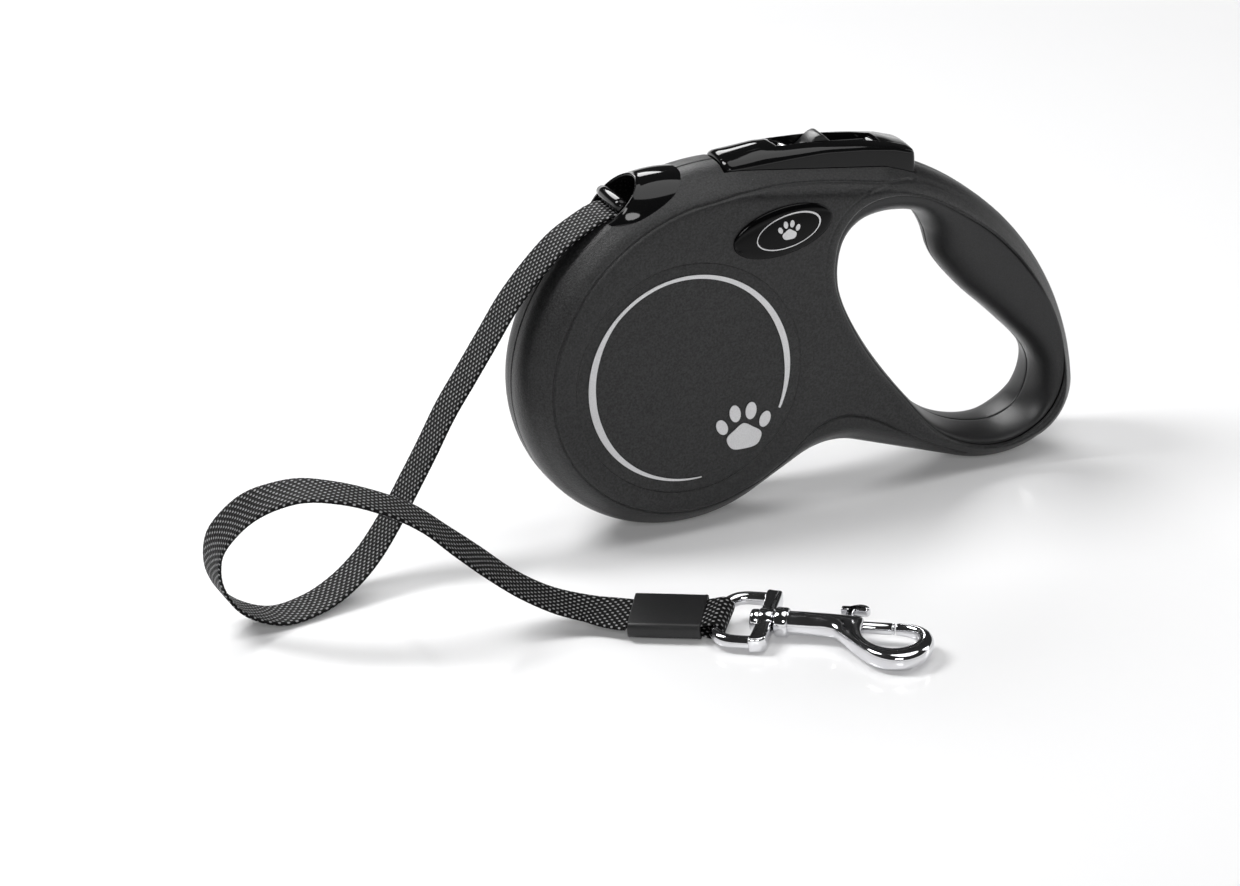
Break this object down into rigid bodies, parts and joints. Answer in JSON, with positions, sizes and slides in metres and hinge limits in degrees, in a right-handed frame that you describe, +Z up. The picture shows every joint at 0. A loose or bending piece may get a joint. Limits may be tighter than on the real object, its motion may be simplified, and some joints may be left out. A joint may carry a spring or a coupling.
{
  "type": "retractable leash",
  "caption": "Hand-held reel case with a loop handle, thumb brake and lock, and a flat tape ending in a swivel snap hook.",
  "frame": {"origin": "bottom centre of the case, at the height of the surface that it stands on", "axes": "+X from the reel to the handle, +Y across the case towards its rear shell, +Z up"},
  "size_m": [0.2568, 0.1387, 0.1033],
  "materials": {
    "case": "fine moulded grain, dark charcoal",
    "grip": "smoother satin, slightly lighter charcoal",
    "gloss": "polished black",
    "badge": "domed polished black with a silver shape",
    "print": "silver print",
    "inner_plastic": "plain moulded",
    "spring_steel": "blued strip",
    "steel": "bright zinc",
    "tape": "tight flat weave with a slight sheen",
    "sleeve": "smooth matte",
    "slider": "satin",
    "indicator": "white",
    "chrome": "polished plating over a casting"
  },
  "bodies": {
    "case": {"front_shell": "case", "rear_shell": "case", "front_grip": "grip", "rear_grip": "grip", "outlet_nozzle": "gloss", "outlet_pin": "steel", "front_badge": "badge", "rear_badge": "badge", "front_ring": "print", "rear_ring": "print", "casing_screws": "steel", "reel_axle": "steel", "button_pin": "steel", "button_spring": "steel", "leash_tape": "tape", "tape_sleeve": "sleeve", "tape_end_loop": "tape", "swivel_shackle": "chrome"},
    "reel": {"reel_hub": "inner_plastic", "ratchet_flange": "inner_plastic", "spring_cup": "inner_plastic", "spring_cup_cover": "inner_plastic", "power_spring": "spring_steel", "wound_tape": "tape"},
    "brake": {"brake_button": "gloss", "brake_claw": "inner_plastic", "lock_indicator": "indicator"},
    "lock": {"lock_slider": "slider"},
    "hook": {"snap_hook": "chrome", "swivel_rivet": "chrome", "snap_bolt_spring": "steel"},
    "bolt": {"snap_bolt": "chrome"}
  },
  "joints": [
    {"name": "reel_spin", "type": "hinge", "parent": "case", "child": "reel", "pos_m": [-0.0365, 0, 0.0457], "axis": [0, -1, 0], "range_deg": [-555, 11880]},
    {"name": "brake_press", "type": "hinge", "parent": "case", "child": "brake", "pos_m": [-0.014, 0, 0.0954], "axis": [0, 1, 0], "range_deg": [0, 4], "stiffness_Nm_per_rad": 0.6, "springref_deg": -5.73, "deforming": ["button_spring"]},
    {"name": "lock_slide", "type": "slide", "parent": "brake", "child": "lock", "axis": [0.9945, 0, -0.1045], "range_m": [0, 0.006]},
    {"name": "hook_swivel", "type": "hinge", "parent": "case", "child": "hook", "pos_m": [-0.0512, -0.0804, 0.0042], "axis": [0.8, -0.6, 0], "continuous": true},
    {"name": "bolt_slide", "type": "slide", "parent": "hook", "child": "bolt", "axis": [0.8, -0.6, 0], "range_m": [-0.0065, 0], "stiffness_N_per_m": 250, "springref_m": 0.006}
  ]
}
